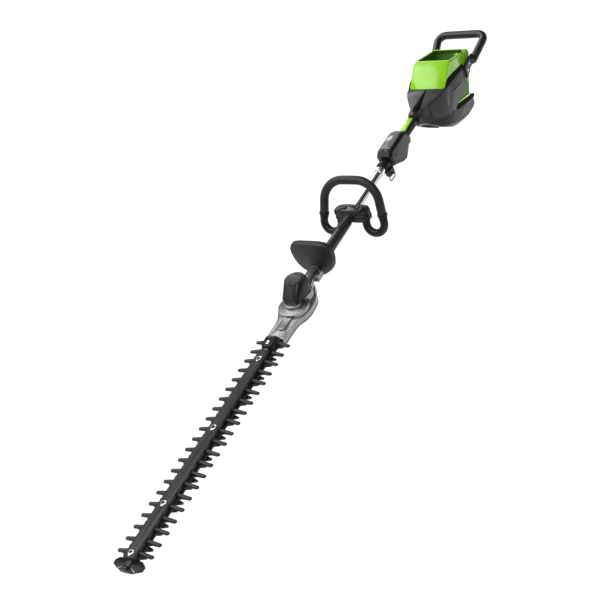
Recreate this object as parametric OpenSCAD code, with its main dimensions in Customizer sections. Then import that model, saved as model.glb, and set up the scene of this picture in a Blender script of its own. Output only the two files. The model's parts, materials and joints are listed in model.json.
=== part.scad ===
// Pole hedge trimmer: a double-sided cutter bar driven by a head motor, on a
// straight pole with a loop handle, a harness ring, a control housing and a
// rear body that holds a slide-in battery.
// Lengths are millimetres.  Every shape is drawn in the pole's own frame (X runs
// rearward along the pole from the last comb tooth, Z is measured up from the
// pole's axis, +Y is the user's right) and place() then moves it to the row's
// origin: middle of the length, at the lowest point.

/* [Cutter bar] */
// Distance between two comb teeth
pitch = 34; // [30:1:38]
// Number of comb teeth along one side
teeth = 21; // [16:1:21]
// Half width over the comb's tooth tips
comb_reach = 52; // [44:1:56]
// Half width over the cutter's tooth tips
cutter_reach = 34.5; // [30:0.5:38]
// Half width of the comb's solid middle
bar_half = 21.5; // [20:0.5:23]
// Thickness of the comb and of each cutter
blade_t = 2.4; // [2:0.1:2.6]
// Half of each cutter's stroke
throw = 10; // [7:0.5:10]
// How far each cutter stands from mid stroke as stored
rest_shift = 5; // [-6:0.5:6]

/* [Head] */
// X of the crank gear's axis
crank_x = 813; // [812:0.5:814]
// Teeth on the crank gear (module 1)
gear_teeth = 76; // [76:1:76]
// Teeth on the motor pinion (module 1)
pinion_teeth = 14; // [14:1:14]
// Radius of the motor cover
cover_r = 31.5; // [31:0.25:33]
// Height of the motor cover's rim above the pole's axis
cover_top = 50; // [46:1:54]

/* [Pole] */
// Outside radius of the main tube
tube_r = 12.5; // [12.5:0.1:12.5]
// Wall of the main tube
tube_wall = 1.7; // [1.2:0.1:2.5]
// Outside radius of the dark sleeve
sleeve_r = 15.5; // [15:0.5:18]

/* [Loop handle] */
// X of the loop handle's clamp
loop_x = 1197; // [1185:1:1215]
// Angle by which the loop leans towards the user
loop_lean = 22; // [10:1:25]
// Radius of the grip
grip_r = 12.8; // [12:0.2:14]
// Radius of the two lower brackets
bracket_r = 11.6; // [11:0.2:11.8]

/* [Controls] */
// Half width of the control housing
control_half = 25.5; // [23:0.5:27]
// Radius of the neck that the rear hand holds
neck_r = 14.5; // [14:0.1:15]

/* [Rear body] */
// Half width of the battery bay
bay_half = 61; // [59:0.5:62]
// Wall of the plastic shells
wall = 3; // [2.5:0.25:3.5]
// Radius of the rear handle's tube
rear_r = 13; // [12:0.5:14]

/* [Hidden] */
$fn = 48;

// Gap left between two pieces that only touch
gap = 0.2;
// Shift of the collar, the harness clamp and the controls along the pole
control_shift = 8;
// Running clearance of a pin or shaft
run = 0.06;
// X of the middle of the object, and how far its lowest point lies below the pole's axis
mid_x = 1027.5;
lift = 141;
// Height of the rear body's own drawing axis above the pole's axis
rear_rise = 8;

// Levels of the cutter bar, measured from the pole's axis
comb_top = -21;
comb_bottom = comb_top - blade_t;
upper_top = comb_bottom - 0.3;
upper_bottom = upper_top - blade_t;
lower_top = upper_bottom - 0.3;
lower_bottom = lower_top - blade_t;
guide_top = comb_top + 14;
guide_half = 15;
comb_front = -14;
comb_back = 716;
bolt_x = [-8, 134.5, 372, 611];
bolt_r = 3;
sleeve_nut_r = 4.5;
slot_half = 4.8;
// Mid stroke puts the cutter teeth a quarter pitch ahead of the comb teeth
cutter_mid = -pitch / 4;

// Drive
gear_r = gear_teeth / 2;
pinion_r = pinion_teeth / 2;
motor_x = crank_x + gear_r + pinion_r;
eccentric_r = 17;
crank_shaft_r = 5;
motor_shaft_r = 4;
case_split = lower_bottom - 0.9;
case_floor = case_split - 6;
deck = 4;
cavity_top = -8;
tube_front = 897;
socket_end = 950;
tube_end = 1556;

module place() { translate([-mid_x, 0, lift]) children(); }
module place_rear() { place() translate([0, 0, rear_rise]) children(); }
module place_controls() { place() translate([control_shift, 0, 0]) children(); }
module rod_x(x0, x1, r, y = 0, z = 0) {
    translate([x0, y, z]) rotate([0, 90, 0]) cylinder(r = r, h = x1 - x0);
}
module rod_y(y0, y1, r, x, z) { translate([x, y1, z]) rotate([90, 0, 0]) cylinder(r = r, h = y1 - y0); }
module rod_z(z0, z1, r, x, y = 0) { translate([x, y, z0]) cylinder(r = r, h = z1 - z0); }
module block(x, y, z) { translate([x[0], y[0], z[0]]) cube([x[1] - x[0], y[1] - y[0], z[1] - z[0]]); }
// A side view drawn as [x, z] points, given the thickness from y0 to y1
module side_plate(points, y0, y1) {
    translate([0, y1, 0]) rotate([90, 0, 0]) linear_extrude(y1 - y0) polygon(points);
}
// A plan view drawn as [x, y] points for y above 0, mirrored, from z0 to z1
module plan_plate(points, z0, z1) {
    n = len(points);
    translate([0, 0, z0]) linear_extrude(z1 - z0)
        polygon(concat(points, [for (i = [n - 1:-1:0]) [points[i][0], -points[i][1]]]));
}

// Round tube swept along points; up is never parallel to the path
function unit(v) = v / norm(v);
function path_dir(p, i) = unit(p[min(i + 1, len(p) - 1)] - p[max(i - 1, 0)]);
module sweep_tube(p, r, sides, up = [0, 0, 1]) {
    n = len(p);
    verts = [for (i = [0:n - 1]) let (t = path_dir(p, i), a = unit(cross(t, up)), b = cross(a, t))
        for (k = [0:sides - 1]) p[i] + r * (cos(360 * k / sides) * a + sin(360 * k / sides) * b)];
    faces = concat(
        [[for (k = [sides - 1:-1:0]) k]],
        [for (i = [0:n - 2], k = [0:sides - 1]) let (a = i * sides, b = a + sides, k2 = (k + 1) % sides)
            [a + k, a + k2, b + k2, b + k]],
        [[for (k = [0:sides - 1]) (n - 1) * sides + k]]);
    polyhedron(verts, faces);
}
// Points of an arc in the XY plane, from angle a0 to a1
function arc_points(x, y, r, a0, a1, steps) =
    [for (i = [0:steps]) let (a = a0 + (a1 - a0) * i / steps) [x + r * cos(a), y + r * sin(a), 0]];

// ---- Cutter bar -------------------------------------------------------------
finger_r = 5.3;
comb_base_half = 9;
cutter_base_half = 8.5;
cutter_tip_half = 4;

module tooth_2d(x, side, root, reach, base_half, tip_half) {
    polygon([[x - base_half, side * root], [x + base_half, side * root],
        [x + tip_half, side * (reach - tip_half)], [x - tip_half, side * (reach - tip_half)]]);
    translate([x, side * (reach - tip_half)]) circle(r = tip_half, $fn = 24);
}

// Comb tooth: a rib with a round back that slopes down from the rail to its round end
rib_slope = 13;
rib_end = comb_reach - finger_r;
module comb_finger(x, from) {
    web_half = 0.96 * finger_r;
    intersection() {
        union() {
            translate([x, rib_end, comb_bottom]) {
                sphere(r = finger_r, $fn = 24);
                rotate([90 - rib_slope, 0, 0])
                    cylinder(r = finger_r, h = (rib_end - from + 5) / cos(rib_slope), $fn = 24);
            }
            translate([x - web_half, 0, 0]) rotate([90, 0, 90]) linear_extrude(2 * web_half)
                polygon([[from - 1, comb_bottom - 1], [rib_end, comb_bottom - 1], [rib_end, comb_bottom],
                    [from - 1, comb_bottom + (rib_end - from + 1) * tan(rib_slope)]]);
        }
        block([x - 10, x + 10], [from, comb_reach + 1], [comb_bottom, comb_top + 16]);
    }
}
module comb_guard() {
    color("#1d1e20") place() {
        translate([0, 0, comb_bottom]) linear_extrude(blade_t) difference() {
            union() {
                translate([comb_front, -bar_half]) square([comb_back - comb_front, 2 * bar_half]);
                for (i = [0:teeth - 1], side = [-1, 1])
                    polygon([[i * pitch - comb_base_half, side * (bar_half - 1)],
                        [i * pitch + comb_base_half, side * (bar_half - 1)],
                        [i * pitch + finger_r, side * (bar_half + 7)],
                        [i * pitch - finger_r, side * (bar_half + 7)]]);
            }
            for (x = bolt_x) translate([x, 0]) circle(r = bolt_r + 0.1);
            translate([root_screw_x, 0]) circle(r = bolt_r + 0.1);
        }
        // the last two stop short of the root cap
        for (i = [0:teeth - 1], side = [0, 1]) mirror([0, side, 0])
            comb_finger(i * pitch, i < teeth - 2 ? guide_half + 0.1 : 19.5);
    }
}

// One cutter: bar, teeth two pitches apart, travel slots and the yoke that the
// eccentric turns in.  dir is +1 for the cutter that stands rearward at rest.
cutter_bar_half = 17;
cutter_front = -27.5;
yoke_rim = 4.5;
module cutter_2d(dir, first) {
    shift = dir * rest_shift;
    difference() {
        union() {
            translate([cutter_front + shift, -cutter_bar_half])
                square([crank_x - eccentric_r - cutter_front - 20, 2 * cutter_bar_half]);
            for (i = [first:2:teeth - 1], side = [-1, 1])
                tooth_2d(i * pitch + cutter_mid + shift, side, cutter_bar_half - 1,
                    cutter_reach, cutter_base_half, cutter_tip_half);
            translate([crank_x - 46 + shift, -9]) square([30, 18]);
            translate([crank_x + shift, 0]) yoke_outline(eccentric_r + yoke_rim);
        }
        translate([crank_x + shift, 0]) yoke_outline(eccentric_r + 0.1);
        for (x = bolt_x) travel_slot(x + shift);
        travel_slot(root_screw_x + shift);
    }
}
module travel_slot(x) {
    translate([x - throw, 0]) circle(r = slot_half);
    translate([x + throw, 0]) circle(r = slot_half);
    translate([x - throw, -slot_half]) square([2 * throw, 2 * slot_half]);
}
module yoke_outline(r) {
    translate([0, -throw]) circle(r = r);
    translate([0, throw]) circle(r = r);
    translate([-r, -throw]) square([2 * r, 2 * throw]);
}
module cutter_blade_upper() {
    color("#4b4d50") place() translate([0, 0, upper_bottom]) linear_extrude(blade_t) cutter_2d(1, 0);
}
module cutter_blade_lower() {
    color("#4b4d50") place() translate([0, 0, lower_bottom]) linear_extrude(blade_t) cutter_2d(-1, 1);
}

// Channel-shaped rail on the comb, with a flat tongue over the tip plate
guide_front = -22;
guide_back = 646;
guide_wall = 2.5;
tongue_top = comb_top + 2.5;
module guide_bar() {
    color("#232426") place() difference() {
        union() {
            difference() {
                block([guide_front, guide_back], [-guide_half, guide_half], [comb_top, guide_top]);
                block([guide_front + 3, guide_back + 1], [guide_wall - guide_half, guide_half - guide_wall],
                    [comb_top - 1, guide_top - guide_wall]);
            }
            for (x = bolt_x) rod_z(comb_top, guide_top - 1, bolt_r + 3, x);
            block([tip_screw_x, guide_front + 4], [-7, 7], [comb_top, tongue_top]);
            rod_z(comb_top, tongue_top, 7, tip_screw_x);
        }
        for (x = bolt_x) rod_z(comb_top - 1, guide_top + 1, bolt_r + 0.1, x);
        rod_z(comb_top - 1, tongue_top + 1, bolt_r + 0.1, tip_screw_x);
    }
}

// Flat eight-sided plate that guards the front end of the bar
tip_screw_x = -41;
tip_top = comb_top - gap;
tip_bottom = lower_bottom - 1;
tip_plan = [[-48, 0], [-47.4, 16], [-36.5, 40], [-24.5, 41], [-17, 33], [-15.5, 16], [-15.5, 0]];
module tip_guard() {
    color("#1b1b1d") place() difference() {
        plan_plate(tip_plan, tip_bottom - 1, tip_top);
        // clearance for the cutters' front ends at full stroke
        block([-38.2, -6], [-36.5, 36.5], [lower_bottom - 0.5, upper_top + 0.2]);
        // long shallow slot on each side of the front rim
        for (side = [-1, 1]) translate([-42.5, side * 20, tip_top])
            rotate([0, 0, side * 26.5]) cube([3, 17, 2.4], center = true);
        rod_z(tip_bottom - 2, tip_top + 1, bolt_r + 0.1, tip_screw_x);
    }
}

// Bolts that hold the bar together, the shield-shaped washers and the sleeve nuts
shield_t = 2.4;
washer_top = guide_top + shield_t;
bolt_head_h = 1.6;
module hex_z(z0, z1, across, x, y = 0) {
    translate([x, y, z0]) cylinder(r = across / 2 / cos(30), h = z1 - z0, $fn = 6);
}
module blade_bolts() {
    color("#b9bcc0") place() {
        for (x = bolt_x) {
            hex_z(washer_top, washer_top + bolt_head_h, 6.4, x);
            rod_z(nut_bottom + 1, washer_top + 0.01, bolt_r, x);
        }
        hex_z(tongue_top, tongue_top + 2.6, 8, tip_screw_x);
        rod_z(tip_bottom, tongue_top + 0.01, bolt_r, tip_screw_x);
    }
}
module blade_shields() {
    color("#c9cccf") place() for (x = bolt_x) translate([x, 0, guide_top]) linear_extrude(shield_t)
        difference() {
            union() {
                polygon([[-9.5, 2], [-1, 8.2], [5, 8.2], [6.6, 6.6], [6.6, -6.6], [5, -8.2], [-1, -8.2],
                    [-9.5, -2]]);
                translate([-8.2, 0]) circle(r = 2.4);
            }
            circle(r = bolt_r + 0.1);
        }
}
nut_top = comb_bottom - 0.1;
nut_bottom = lower_bottom - 5;
module blade_nuts() {
    color("#9fa2a6") place() for (x = bolt_x) difference() {
        union() {
            rod_z(lower_bottom - 0.4, nut_top, sleeve_nut_r, x);
            hex_z(nut_bottom, lower_bottom - 0.3, 13, x);
        }
        rod_z(nut_bottom - 1, nut_top + 1, bolt_r + 0.01, x);
    }
}

// ---- Gearbox ----------------------------------------------------------------
root_screw_x = 665;
cap_top = -1;
module root_cap() {
    color("#1b1b1d") place() difference() {
        hull() {
            plan_plate([[651, 15], [656, 19.3], [696.5, 19.3]], comb_top + 0.05, comb_top + 6);
            plan_plate([[651, 8], [655, 14], [684, 16], [691, 12]], cap_top - 3, cap_top);
        }
        difference() {
            block([655, 692], [-12, 12], [comb_top - 1, cap_top - 5.5]);
            rod_z(comb_top - 2, cap_top, bolt_r + 3, root_screw_x);
        }
        rod_z(comb_top - 1, cap_top + 1, bolt_r + 0.1, root_screw_x);
        rod_z(cap_top - 3, cap_top + 1, 6.2, root_screw_x);
    }
}
module root_screw() {
    color("#c9cccf") place() {
        rod_z(cap_top - 2.9, cap_top + 1.2, 6, root_screw_x);
        rod_z(comb_bottom, cap_top - 2.8, bolt_r, root_screw_x);
    }
}

// Plan outline of both case halves: a narrow snout, a round gear chamber, a waist
case_plan = [[697, 25.5], [702, 27.5], [750, 28.5], [768, 31], [780, 37], [792, 43], [808, 47], [822, 47.5],
    [840, 46], [856, 43.5], [870, 38], [884, 27], [896, 20], [904, 17]];
snout_top = comb_top + 4;
channel_half = 22;
chamber_r = 40;
case_screw_xy = [[705, 24.4], [750, 25.2], [787, 36.6], [850, 41]];

module chamber(z0, z1) {
    rod_z(z0, z1, chamber_r, crank_x);
    rod_z(z0, z1, 11, motor_x);
}
module gearbox_upper_case() {
    color("#b4b7ba") place() difference() {
        union() {
            plan_plate(case_plan, case_split + gap, snout_top);
            // raised rib down the middle of the snout
            rod_z(snout_top - 1, snout_top + 5, 12, 737);
            block([737, 800], [-12, 12], [snout_top - 1, snout_top + 5]);
            // chamber walls and the deck that the motor stands on
            intersection() {
                plan_plate(case_plan, snout_top - 1, deck);
                union() {
                    rod_z(snout_top - 1, cavity_top + 3, 43, crank_x);
                    rod_z(snout_top - 1, deck, 24, crank_x + 2);
                    rod_z(snout_top - 1, deck, 33, motor_x);
                }
            }
            // tube socket with its two clamp ears
            rod_x(890, socket_end, 17);
            block([890, 904], [-17, 17], [case_split + gap, 0]);
            block([912, 942], [-29, -8], [-8, 8]);
        }
        chamber(case_split, cavity_top);
        // blade channel in the snout
        block([690, crank_x], [-channel_half, channel_half], [case_split, comb_top + 0.05]);
        block([crank_x - 37, crank_x], [-32, 32], [case_split, comb_top + 0.05]);
        // bearing seats
        rod_z(cavity_top - 1, cavity_top + 6, 9.5, crank_x);
        rod_z(cavity_top - 1, deck + 1, 8, motor_x);
        // socket bore and clamp slit
        rod_x(tube_front - 0.5, socket_end + 1, tube_r + 0.02);
        block([905, socket_end + 1], [-30, 0], [-0.75, 0.75]);
        rod_z(-9, 9, tube_screw_r + 0.1, 927, -23);
        for (p = case_screw_xy, side = [-1, 1]) rod_z(case_split, snout_top - 5, 2, p[0], side * p[1]);
    }
}
module gearbox_lower_case() {
    color("#8e9194") place() difference() {
        union() {
            plan_plate(case_plan, case_floor, case_split);
            rod_z(case_floor - 3, case_floor + 1, 20, crank_x);
        }
        chamber(case_floor + 3, case_split + 1);
        block([690, crank_x], [-channel_half, channel_half], [case_split - 1.2, case_split + 1]);
        rod_z(case_floor - 1.5, case_floor + 4, 9.5, crank_x);
        for (p = case_screw_xy, side = [-1, 1]) {
            rod_z(case_floor - 1, case_split + 1, 2.2, p[0], side * p[1]);
            rod_z(case_floor - 1, case_floor + 2, 4.2, p[0], side * p[1]);
        }
    }
}
module gearbox_screws() {
    color("#6f7275") place() for (p = case_screw_xy, side = [-1, 1]) {
        rod_z(case_floor + 0.2, case_floor + 2, 4, p[0], side * p[1]);
        rod_z(case_floor + 1.9, snout_top - 6, 1.95, p[0], side * p[1]);
    }
}

// Straight-sided spur gear of module 1
module spur_2d(count, phase) {
    r = count / 2;
    step = 360 / count;
    polygon([for (i = [0:count - 1], k = [0:3])
        let (a = phase + (i + [-0.34, -0.13, 0.13, 0.34][k]) * step,
             rr = (k == 1 || k == 2) ? r + 0.85 : r - 1.15)
        [rr * cos(a), rr * sin(a)]]);
}
gear_bottom = -19.5;
gear_height = 8;
// The two eccentrics stand just clear of the yokes that they drive, above and below
eccentric_angle = acos(rest_shift / throw);
module crank_gear() {
    color("#8b8d90") place() translate([crank_x, 0, 0]) {
        difference() {
            translate([0, 0, gear_bottom]) linear_extrude(gear_height) spur_2d(gear_teeth, 0);
            for (i = [0:5]) rotate([0, 0, 60 * i + 30])
                translate([26, 0, gear_bottom - 1]) cylinder(r = 6, h = gear_height + 2);
        }
        // upper eccentric, raised clear of the comb's plane
        translate([throw * cos(eccentric_angle), throw * sin(eccentric_angle), upper_top + 0.3])
            cylinder(r = eccentric_r, h = gear_bottom - upper_top - 0.2);
        translate([-throw * cos(eccentric_angle), -throw * sin(eccentric_angle), lower_bottom - 2.6])
            cylinder(r = eccentric_r, h = 2.3);
        translate([0, 0, case_floor - 1.4])
            cylinder(r = crank_shaft_r, h = cavity_top + 6 - case_floor + 1.2);
    }
}
// Ball bearings drawn as solid rings: two on the crank, two on the motor shaft
module ring_z(z0, z1, r_out, r_in, x) {
    translate([x, 0, z0]) difference() {
        cylinder(r = r_out, h = z1 - z0);
        translate([0, 0, -1]) cylinder(r = r_in, h = z1 - z0 + 2);
    }
}
motor_bearing_z = [-4, 42];
module head_bearings() {
    color("#cfd1d4") place() {
        ring_z(cavity_top, cavity_top + 5.8, 9.45, crank_shaft_r + run, crank_x);
        ring_z(case_floor - 1.4, case_floor + 2.8, 9.45, crank_shaft_r + run, crank_x);
        for (z = motor_bearing_z) ring_z(z, z + 5, 7.95, motor_shaft_r + run, motor_x);
    }
}

// ---- Motor ------------------------------------------------------------------
module motor_shaft() {
    color("#9b9ea2") place() translate([motor_x, 0, 0]) {
        translate([0, 0, gear_bottom + 0.5])
            linear_extrude(gear_height - 1) spur_2d(pinion_teeth, 180 / pinion_teeth);
        translate([0, 0, gear_bottom - 0.5]) cylinder(r = motor_shaft_r, h = 47 - gear_bottom + 0.5);
    }
}
rotor_r = 14;
module motor_rotor() {
    color("#a4a7ab") place() ring_z(12, 38, rotor_r, motor_shaft_r, motor_x);
}
module motor_stator() {
    color("#9a5a2c") place() difference() {
        ring_z(13, 37, 26, rotor_r + 0.5, motor_x);
        for (i = [0:8]) translate([motor_x, 0, 12]) rotate([0, 0, 40 * i])
            translate([19, 0, 0]) cylinder(r = 2.6, h = 30);
    }
}
// Cover with a sloping front: the hull of its foot outline and its rim
module cover_solid(shrink, z0, z1) {
    hull() {
        translate([motor_x, 0, z0]) cylinder(r = cover_r - shrink, h = 0.1);
        for (side = [-1, 1]) translate([816, side * 16, z0]) cylinder(r = 11.5 - shrink, h = 0.1);
        for (side = [-1, 1]) translate([814, side * 14, z0 + 14]) cylinder(r = 11.5 - shrink, h = 0.1);
        translate([motor_x - 2, 0, z1 - 9]) cylinder(r = cover_r - shrink, h = 0.1);
        translate([motor_x - 3, 0, z1 - 0.1]) cylinder(r = cover_r - 3.5 - shrink, h = 0.1);
    }
}
module motor_cover() {
    color("#1c1c1e") place() difference() {
        cover_solid(0, deck + gap, cover_top);
        cover_solid(2.5, deck - 1, cover_top - 6);
        // opening that the lid closes
        rod_z(cover_top - 4, cover_top + 2, 25, motor_x - 4);
        rod_z(cover_top - 10, cover_top, 11, motor_x);
        // vent slots on both sides
        for (side = [-1, 1], i = [0:4]) translate([motor_x + 2 + 4.5 * i, side * 30, cover_top - 14])
            cube([2, 22, 12], center = true);
        rod_x(880, 894, 2.2, -20, 8);
        for (a = [60, 180, 300]) translate([motor_x - 4, 0, 0]) rotate([0, 0, a])
            translate([21, 0, cover_top - 7]) cylinder(r = 1.4, h = 5);
    }
}
module motor_lid() {
    color("#6a6c70") place() difference() {
        union() {
            rod_z(cover_top - 3.8, cover_top + 1, 24.7, motor_x - 4);
            translate([motor_x - 4, 0, cover_top + 1]) cylinder(r1 = 24.7, r2 = 20, h = 2.5, $fn = 64);
            // boss that holds the motor shaft's upper bearing
            rod_z(cover_top - 9, cover_top - 3, 7.9 + 2.5, motor_x);
        }
        rod_z(cover_top - 10, cover_top - 2.9, 7.97, motor_x);
        for (a = [60, 180, 300]) translate([motor_x - 4, 0, 0]) rotate([0, 0, a])
            translate([21, 0, cover_top - 5]) {
                cylinder(r = 1.6, h = 12);
                translate([0, 0, 6.4]) cylinder(r = 2.9, h = 6);
            }
    }
}
module motor_lid_screws() {
    color("#3a3b3d") place() for (a = [60, 180, 300]) translate([motor_x - 4, 0, 0]) rotate([0, 0, a])
        translate([21, 0, cover_top - 6.5]) {
            cylinder(r = 1.35, h = 8);
            translate([0, 0, 7.95]) cylinder(r = 2.7, h = 1.6);
        }
}
// Lead from the pole to the motor: short straight runs joined by balls
cable_r = 1.8;
cable_path = [[953.8, -17.6, 8.2], [948, -17.5, 8.8], [942, -16.8, 10.2], [934, -15.8, 12.4],
    [925, -15.4, 13.6],
    [914, -16.2, 13], [904, -17.8, 11], [896, -19.2, 9.2], [889, -19.8, 8.2], [884, -20, 8]];
module motor_cable() {
    color("#151517") place() sweep_tube(cable_path, cable_r, 10);
}

// ---- Pole -------------------------------------------------------------------
tube_screw_r = 2.5;
harness_x0 = 1393;
harness_x1 = 1423;
harness_mid = (harness_x0 + harness_x1) / 2;
module tube_clamp_screws() {
    color("#2c2d2f") place() {
        rod_z(-8, 8.2, tube_screw_r, 927, -23);
        rod_z(8.1, 12, 4.2, 927, -23);
        translate([control_shift, 0, 0]) {
            rod_y(-24.1, -7, tube_screw_r, harness_mid, -22);
            rod_y(-28, -24.05, 4.2, harness_mid, -22);
        }
    }
}
module main_tube() {
    color("#d5d7da") place() difference() {
        rod_x(tube_front, tube_end + control_shift, tube_r);
        rod_x(tube_front - 1, tube_end + control_shift + 1, tube_r - tube_wall);
    }
}
sleeve_x0 = 966;
sleeve_x1 = 1160;
module tube_sleeve() {
    color("#2b2c2f") place() difference() {
        union() {
            rod_x(sleeve_x0, sleeve_x1 - 3, sleeve_r);
            rod_x(sleeve_x1 - 3.1, sleeve_x1, sleeve_r - 1.5);
        }
        rod_x(sleeve_x0 - 1, sleeve_x1 + 1, tube_r + 0.02);
    }
}
// Dished hand shield: wide and flat at the top, tapering to the collar below
shield_x = 957;
shield_depth = 14;
shield_outline = [[0, -29], [14, -27], [28, -19], [45, -7], [57, 11], [63.5, 32], [65.5, 50], [64, 63],
    [57, 75], [45, 81], [30, 83], [0, 83.5]];
module shield_slab(x0, x1, grow) {
    n = len(shield_outline);
    full = concat(shield_outline, [for (i = [n - 2:-1:1]) [-shield_outline[i][0], shield_outline[i][1]]]);
    translate([x0, 0, 28]) rotate([90, 0, 90]) linear_extrude(x1 - x0)
        polygon([for (p = full) [p[0] * grow, (p[1] - 28) * grow]]);
}
module hand_shield() {
    color("#262628") place() difference() {
        union() {
            hull() {
                shield_slab(shield_x, shield_x + 0.1, 0.95);
                shield_slab(shield_x + 5, shield_x + shield_depth, 1);
            }
            // collar around the sleeve
            rod_x(shield_x - 3, shield_x + shield_depth + 12, 21);
        }
        difference() {
            hull() {
                shield_slab(shield_x + 3.2, shield_x + 3.3, 0.9);
                shield_slab(shield_x + 8, shield_x + shield_depth + 1, 0.955);
            }
            rod_x(shield_x - 4, shield_x + shield_depth + 12, 21);
        }
        rod_x(shield_x - 4, sleeve_x0, 13.5);
        rod_x(sleeve_x0 - 0.2, shield_x + shield_depth + 13, sleeve_r + 0.02);
    }
}

// ---- Loop handle ------------------------------------------------------------
// Path in the loop's own plane: u is sideways, v is up along the lean
corner_u = 21.5;
corner_v = 28;
corner_R = 68;
side_out = 8;
side_u = corner_u + corner_R * cos(side_out);
side_v = corner_v + corner_R * sin(side_out);
grip_end = 41;
hook_R = 28.5;
side_run = 62;
hook_u = side_u + side_run * sin(side_out) - hook_R * cos(side_out);
hook_v = side_v - side_run * cos(side_out) - hook_R * sin(side_out);
leg_u = hook_u - hook_R;
leg_top = 6;
module loop_plane() { translate([loop_x, 0, 0]) rotate([90 + loop_lean, 0, 90]) children(); }
grip_half = concat([[side_u + grip_end * sin(side_out), side_v - grip_end * cos(side_out), 0]],
    arc_points(corner_u, corner_v, corner_R, side_out, 90, 20));
module loop_grip() {
    n = len(grip_half);
    color("#1e1e20") place() loop_plane()
        sweep_tube(concat(grip_half, [for (i = [n - 1:-1:0]) [-grip_half[i][0], grip_half[i][1], 0]]),
            grip_r, 20);
}
bracket_path = concat(
    [[side_u + (grip_end + 0.1) * sin(side_out), side_v - (grip_end + 0.1) * cos(side_out), 0]],
    arc_points(hook_u, hook_v, hook_R, side_out, -180, 20),
    [[leg_u, leg_top, 0]]);
module loop_bracket() {
    sweep_tube(bracket_path, bracket_r, 24);
}
module bracket_screw_holes() {
    for (v = loop_screw_v, d = [-1, 1]) translate([loop_screw_u(v), v, 0])
        translate([0, 0, d > 0 ? 6 : -14]) cylinder(r = 2.2, h = 8, $fn = 24);
}
loop_screw_v = [-12, -20];
function loop_screw_u(v) = side_u + (side_v - v) * tan(side_out);
module loop_bracket_left() {
    color("#19191b") place() difference() {
        loop_plane() difference() { loop_bracket(); bracket_screw_holes(); }
        clamp_bolt_holes();
    }
}
module loop_bracket_right() {
    color("#19191b") place() difference() {
        loop_plane() mirror([1, 0, 0]) difference() { loop_bracket(); bracket_screw_holes(); }
        clamp_bolt_holes();
    }
}
module loop_screws() {
    color("#7b7e82") place() loop_plane() for (m = [0, 1]) mirror([m, 0, 0])
        for (v = loop_screw_v, d = [-1, 1]) translate([loop_screw_u(v), v, d > 0 ? 6.2 : -12])
            cylinder(r = 2.1, h = 5.8, $fn = 24);
}
clamp_half = 54;
clamp_plan = [[loop_x - 22, 30], [loop_x - 18, 46], [loop_x - 8, clamp_half],
    [loop_x + 8, clamp_half], [loop_x + 18, 46], [loop_x + 22, 30]];
clamp_bolt_y = 21;
module clamp_bolt_holes() {
    for (side = [-1, 1]) rod_z(-30, 30, 3.1, loop_x, side * clamp_bolt_y);
}
module clamp_cuts() {
    rod_x(loop_x - 30, loop_x + 30, tube_r + 0.02);
    clamp_bolt_holes();
    loop_plane() for (m = [0, 1]) mirror([m, 0, 0])
        translate([leg_u, -60, 0]) rotate([-90, 0, 0])
            cylinder(r = bracket_r + 0.15, h = 60 + leg_top + 0.3);
}
module handle_clamp_upper() {
    color("#202022") place() difference() {
        union() {
            plan_plate(clamp_plan, 0.4, 14);
            plan_plate([[loop_x - 17, 28], [loop_x - 6, 40], [loop_x + 6, 40], [loop_x + 17, 28]], 13.9, 18);
        }
        clamp_cuts();
        for (side = [-1, 1]) rod_z(15, 20, 7, loop_x, side * clamp_bolt_y);
    }
}
module handle_clamp_lower() {
    color("#1a1a1c") place() difference() {
        plan_plate(clamp_plan, -17, -0.4);
        clamp_cuts();
        for (side = [-1, 1]) hex_z(-18, -12, 10.3, loop_x, side * clamp_bolt_y);
    }
}
module clamp_bolts() {
    color("#8d9094") place() for (side = [-1, 1]) {
        hex_z(15, 19.5, 10, loop_x, side * clamp_bolt_y);
        rod_z(-16.5, 15.1, 3, loop_x, side * clamp_bolt_y);
        hex_z(-17, -12.4, 10, loop_x, side * clamp_bolt_y);
    }
}

// ---- Harness clamp ----------------------------------------------------------
module chrome_collar() {
    color("#e9ebee") place_controls() difference() {
        union() {
            rod_x(1373, 1388, 16);
            rod_x(1387.9, 1392, 14.6);
        }
        rod_x(1370, 1395, tube_r + 0.02);
    }
}
ring_wire_r = 1.7;
module harness_clamp() {
    color("#151516") place_controls() difference() {
        union() {
            rod_x(harness_x0, harness_x1, 17);
            rod_x(harness_x0 + 6, harness_x1 - 6, 18.5);
            // lug below, split by the clamp screw
            block([harness_x0 + 2, harness_x1 - 2], [-24, -8], [-27, -6]);
        }
        rod_x(harness_x0 - 1, harness_x1 + 1, tube_r + 0.02);
        block([harness_x0 - 1, harness_x1 + 1], [-16.6, -15.4], [-30, 0]);
        rod_y(-30, -5, tube_screw_r + 0.1, harness_mid, -22);
        // hole for the ring's straight side
        rod_x(harness_x0, harness_x1, ring_wire_r + run, -20.5, -12.2);
    }
}
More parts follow.
